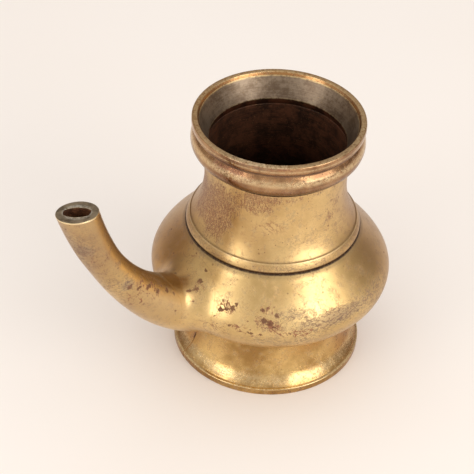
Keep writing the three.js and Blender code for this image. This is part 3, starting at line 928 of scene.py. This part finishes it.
def fillet_section(angle):
    """One closed section of the fillet: its skin, then its hidden back."""
    across, side = math.cos(angle), math.sin(angle)
    upper, lower = max(0, -across), max(0, across)
    spread = FILLET_SPREAD + SPREAD_BELOW * lower**1.5 + SPREAD_ABOVE * upper**2
    along = FILLET_ALONG + ALONG_ABOVE * upper**2 + ALONG_BELOW * lower**2
    start = LEAD_IN
    for _ in range(5):
        radius = tube_r(start)
        start = leaves_belly(radius * across, radius * side)
    corner = beside_path(start, radius * across, radius * side)
    normal = belly_normal(corner)
    away = corner - on_path(start)[0]
    away -= normal * (away @ normal)
    away /= np.linalg.norm(away)
    edge = on_belly(corner + away * spread)
    normal = belly_normal(edge)
    inwards = corner - edge
    inwards -= normal * (inwards @ normal)
    end = start + along
    far_r = tube_r(end)
    top, (_, aim) = beside_path(end, far_r * across, far_r * side), on_path(end)
    pulls = edge, edge + PULL_IN * inwards, top - PULL_BACK * along * aim, top
    skin = [clear_of_both(np.array(p)) for p in bezier(*pulls, FILLET_STEPS)]
    sunk = edge + away * EDGE_OUT - normal * EDGE_DEEP
    back_r = far_r - BACK_IN
    back = [beside_path(end, back_r * across, back_r * side), on_belly(corner - away * BACK_IN, -HIDDEN),
            on_belly(edge, -HIDDEN)]
    return [sunk, *skin, *back]


def fillet_mesh():
    sections = [fillet_section(i / FILLET_SIDES * math.tau) for i in range(FILLET_SIDES)]
    count = len(sections[0])
    points = [tuple(p * MM + np.array(AXIS)) for section in sections for p in section]
    faces = []
    for i in range(FILLET_SIDES):
        k = (i + 1) % FILLET_SIDES
        for j in range(count):
            m = (j + 1) % count
            faces.append((i * count + j, k * count + j, k * count + m, i * count + m))
    made = mesh_of("spout_root", points, [], faces)
    made.polygons.foreach_set("use_smooth", [True] * len(faces))
    made.set_sharp_from_angle(angle=FILLET_SHARP)
    made.materials.append(belly_brass)
    return made


piece_of("spout_root", fillet_mesh(), "braze", "spout_seam")

# Neck: a waisted collar, turned from its own casting. A sloping band at its base sits on the
# shoulder, over a dark line of filler, and a spigot at its top takes the mouth.
BAND_H = 4.4
BAND_IN = 2.4
BAND_STEP = 1.1
WAIST_R = 35.9
WAIST_UP = 28
NECK_TOP_UP = 41.6
NECK_TOP_R = 36.2
SPIGOT_H = 5.1
SPIGOT_STEP = 0.8
SPIGOT_WALL = 1.1
WAIST_PULL = 2.2
PULL_LOW = 0.37
PULL_HIGH = 0.68
SEAM_PLAY = 0.1
SEAM_IN = 0.35
neck_top = neck_z + NECK_TOP_UP
spigot_r = NECK_TOP_R - SPIGOT_STEP
band_r, band_z = SHOULDER_R - BAND_IN, neck_z + BAND_H


def neck_wall(out, steps=36):
    return bezier((band_r + out, band_z), (WAIST_R + WAIST_PULL + out, neck_z + PULL_LOW * WAIST_UP),
                  (WAIST_R + out, neck_z + PULL_HIGH * WAIST_UP), (WAIST_R + out, neck_z + WAIST_UP), steps)


seam_low, seam_high = SHOULDER_Z + SEAM_PLAY, neck_z - SEAM_PLAY
seam_in, seam_out = socket_r + 2 * GAP, SHOULDER_R - SEAM_IN
seam_outline = eased([(seam_in, seam_low), (seam_out, seam_low), (seam_out, seam_high), (seam_in, seam_high)],
                     0.1)
black_filler = filler("black_filler", rgb(118, 82, 52), rgb(76, 50, 32))
piece_of("neck_braze", turned("neck_braze", seam_outline, black_filler, black_filler), "braze", "neck_seam")

neck_brass = brass(
    "neck_brass", light=rgb(220, 188, 132), dark=rgb(194, 160, 108), dull=0.03,
    patches=[((-10, 30, 81), (70, 50, 3.4), 0.5), ((3, 2, 104), (16, 16, 24), 1.0),
             ((-3, 20, 113), (16, 16, 10), 0.9), ((8, -2, 90), (12, 14, 13), 0.65),
             ((-40, 36, 104), (12, 10, 16), 0.6), ((0, -16, 100), (14, 16, 24), 0.9),
             ((-14, 30, 118), (40, 30, 5), 0.6), ((-62, 22, 100), (14, 20, 26), 0.6)],
    stains=[((-6, 28, 101), (12, 12, 6), 0.6)],
    greys=[((-30, 36, 81), (60, 16, 4), 0.7), ((12, -10, 81), (14, 40, 4), 0.7),
           ((-30, 36, 92), (40, 14, 8), 0.4)],
    # Painted shade at the base seam, under the band's top step and under the mouth; a painted highlight along
    # the band's top edge.
    shade_and_grime_bands=[(neck_z, 0.6, 0.5), (band_z, 0.6, 0.3), (neck_top - 0.2, 0.9, 0.6)],
    edges=[(band_z - 0.6, 0.4, 0.5)])
band = bezier((SHOULDER_R, neck_z), (SHOULDER_R, neck_z + 1.2),
              (band_r + BAND_STEP + 0.5, band_z - BAND_STEP - 0.5), (band_r + 0.5, band_z - 0.2), 10)
neck_outer = [*band, (band_r + 0.1, band_z - 0.1), *neck_wall(0)[1:], (NECK_TOP_R, neck_top)]
neck_outline = eased([
    (socket_r + GAP, neck_z), *neck_outer, (spigot_r, neck_top), (spigot_r, neck_top + SPIGOT_H),
    (spigot_r - SPIGOT_WALL, neck_top + SPIGOT_H), (spigot_r - SPIGOT_WALL, neck_top),
    *neck_wall(-WALL)[::-1], (socket_r + GAP, neck_z + SOCKET_H)], 0.35)
inner_dark = lining("inner_dark", rgb(112, 70, 48), rgb(56, 36, 26), 0.45, 0.5)
neck_mesh = turned("neck", neck_outline, neck_brass, inner_dark, within(neck_outer))
piece_of("neck", neck_mesh, "brass_neck", "neck_collar")

# Mouth: a bead, a groove and a lip turned in one ring, with a sloping seat inside its edge. It is
# pushed over the neck's spigot and brazed below. Its inside and the seat have gone grey-brown.
MOUTH_H = 20.5
BEAD_R = 43.2
BEAD_LOW = 3.8
BEAD_HIGH = 10.1
GROOVE_LOW = 13.8
LIP_R = 43
LIP_UNDER = 5.2
LIP_H = 3
LIP_EDGE = 0.8
GROOVE_IN = 1.8
LAND_IN = 2.8
SEAT_R = 39.35
SEAT_EDGE = 1.6
THROAT_R = 34.25
SEAT_DEPTH = 12.6
mouth_z = neck_top + GAP
lip_z = mouth_z + MOUTH_H
groove_r = LIP_R - GROOVE_IN
run_r = NECK_TOP_R + 0.1
run_outline = eased([(run_r, mouth_z - 1.4), (run_r + 0.9, mouth_z - 0.7), (run_r + 1.2, mouth_z - 0.2),
                     (run_r, mouth_z - 0.2)], 0.2)
piece_of("mouth_braze", turned("mouth_braze", run_outline, dark_filler, dark_filler), "braze", "mouth_seam")

mouth_brass = brass(
    "mouth_brass", light=rgb(190, 150, 108), dark=rgb(132, 97, 70), dull=-0.13,
    amber_and_shade_zones=[((-32, -36, 141), (80, 44, 5), 0.9), ((-84, 20, 138), (30, 40, 8), 0.6)],
    patches=[((5, 12, 133), (16, 22, 8), 0.7), ((-10, 36, 136), (36, 20, 3.4), 0.75),
             ((-50, 42, 126), (34, 14, 5), 0.6), ((-4, 34, 126), (34, 16, 4), 0.6),
             ((-32, -40, 141), (60, 14, 4), 0.6)],
    greys=[((2, 24, 141), (26, 22, 3), 1.0), ((-60, 30, 141), (26, 26, 3), 0.5),
           ((-20, 40, 128), (34, 14, 6), 0.4)],
    stains=[((6, 8, 133), (12, 16, 8), 1.0), ((-4, 28, 141), (22, 18, 3), 1.2)],
    # Painted shade in the groove under the lip and over the bead's lower half, with grime at the joint;
    # painted highlights along the lip's edges and in a band across the bead.
    shade_and_grime_bands=[(lip_z - LIP_UNDER - 0.6, 1.1, 0.65), (mouth_z + 3, 4.4, 0.45), (mouth_z, 0.7, 0.6)],
    edges=[(lip_z - 0.1, 0.5, 0.65), (lip_z - LIP_H + 0.4, 0.7, 0.5), (mouth_z + 10.4, 2.4, 0.6)])
# The seat's lighter edges are partly painted highlights.
seat_grey = lining("seat_grey", rgb(146, 129, 110), rgb(108, 90, 73), 0.36, 0.8,
                   edges=[(lip_z - SEAT_EDGE, 1.0, 1.0), (lip_z - SEAT_DEPTH, 0.5, 0.6)],
                   rust_below=lip_z - SEAT_DEPTH + 0.3)
bead = bezier((NECK_TOP_R + GAP, mouth_z), (BEAD_R + 2, mouth_z + BEAD_LOW),
              (BEAD_R + 1, mouth_z + BEAD_HIGH), (groove_r + 0.1, mouth_z + GROOVE_LOW), 40)
lip_low = lip_z - LIP_UNDER
lip = bezier((groove_r, lip_low), (LIP_R - 0.6, lip_low + 0.3), (LIP_R, lip_low + 0.9),
             (LIP_R, lip_z - LIP_H), 8)
ceiling_z = neck_top + SPIGOT_H + GAP
mouth_outline = eased([
    (spigot_r + GAP, mouth_z), *bead, *lip, (LIP_R, lip_z - LIP_EDGE),
    (LIP_R - 0.3 * LIP_EDGE, lip_z - 0.3 * LIP_EDGE), (LIP_R - LIP_EDGE, lip_z), (LIP_R - LAND_IN, lip_z),
    (SEAT_R, lip_z - SEAT_EDGE), (THROAT_R, lip_z - SEAT_DEPTH), (THROAT_R, ceiling_z),
    (spigot_r + GAP, ceiling_z)], 0.4)
mouth_mesh = turned("mouth", mouth_outline, mouth_brass, seat_grey,
                    lambda r, z: r < SEAT_R + 0.2 and z < lip_z - 0.9)
piece_of("mouth", mouth_mesh, "brass_mouth", "mouth_ring")

# Floor, light and camera: a plain pale floor, two tall soft lamps to the left and right of the
# camera, and a pale room that darkens upwards. They aren't part of the object.
FLOOR = 3.0
ROOM_BACK = rgb(142, 130, 120)
ROOM_FRONT = rgb(246, 238, 230)
ROOM_TOP = rgb(214, 205, 195)
EVEN_LIGHT = rgb(242, 241, 240)
LAMP_HEIGHT = 0.08
LENS = 113.92
CAMERA_AT = (0.36920, 0.45116, 0.55701)
CAMERA_LOOK = (-0.49807, -0.59357, -0.63215)
CAMERA_ROLL = math.radians(2.731)
corners = [(-FLOOR, -FLOOR, 0), (FLOOR, -FLOOR, 0), (FLOOR, FLOOR, 0), (-FLOOR, FLOOR, 0)]
floor_mesh = mesh_of("floor", corners, [], [(0, 1, 2, 3)])
floor = placed("floor", floor_mesh)
cloth = Finish("pale_floor")
pale = cloth.mix(cloth.noise(0.004, 2.0), rgb(248, 238, 229), rgb(251, 243, 236))
shader = cloth.node("ShaderNodeBsdfPrincipled", None, Base_Color=pale, Roughness=0.9, Specular_IOR_Level=0.1)
cloth.node("ShaderNodeOutputMaterial", None, shader)
floor_mesh.materials.append(cloth.material)

world = bpy.data.worlds.new("room")
world.use_nodes = True
room = Tree(world.node_tree)
seen = room.node("ShaderNodeLightPath")
shows = room.math("MAXIMUM", seen.of("Is Camera Ray"),
                  room.math("MAXIMUM", seen.of("Is Glossy Ray"), seen.of("Is Transmission Ray")))
apart = room.node("ShaderNodeSeparateXYZ", None, room.node("ShaderNodeTexCoord").of("Generated"))
front = room.step(apart.of("X") * 0.66 + apart.of("Y") * 0.75, -0.6, 0.5)
low_room = room.mix(front, ROOM_BACK, ROOM_FRONT)
tint = room.mix(shows, EVEN_LIGHT, room.mix(room.step(apart.of("Z"), 0.1, 0.95), low_room, ROOM_TOP))
room.node("ShaderNodeOutputWorld", None, room.node("ShaderNodeBackground", None, tint, 1.0))
bpy.context.scene.world = world


def lamp(name, azimuth, elevation, distance, width, height, power):
    """A soft lamp that faces the pot's neck, at an angle from +X and a height angle."""
    a, e = math.radians(azimuth), math.radians(elevation)
    aim = Vector((math.cos(a) * math.cos(e), math.sin(a) * math.cos(e), math.sin(e)))
    data = bpy.data.lights.new(name, "AREA")
    data.shape, data.size, data.size_y, data.energy = "RECTANGLE", width, height, power
    data.color = (1.0, 0.98, 0.95)
    made = placed(name, data)
    made.location = Vector((AXIS[0], 0, LAMP_HEIGHT)) + aim * distance
    made.rotation_mode = "QUATERNION"
    made.rotation_quaternion = aim.to_track_quat("Z", "Y")


lamp("left_lamp", 1, 20, 1.0, 0.38, 0.56, 1.75)
lamp("right_lamp", 102, 24, 1.0, 0.66, 0.62, 3.5)

camera_data = bpy.data.cameras.new("camera")
camera_data.sensor_width = 36
camera_data.lens = LENS
camera = placed("camera", camera_data)
camera.location = CAMERA_AT
camera.rotation_mode = "QUATERNION"
camera.rotation_quaternion = Vector(CAMERA_LOOK).to_track_quat("-Z", "Y") @ Quaternion((0, 0, 1), CAMERA_ROLL)
bpy.context.scene.camera = camera
bpy.context.scene.view_settings.view_transform = "Standard"
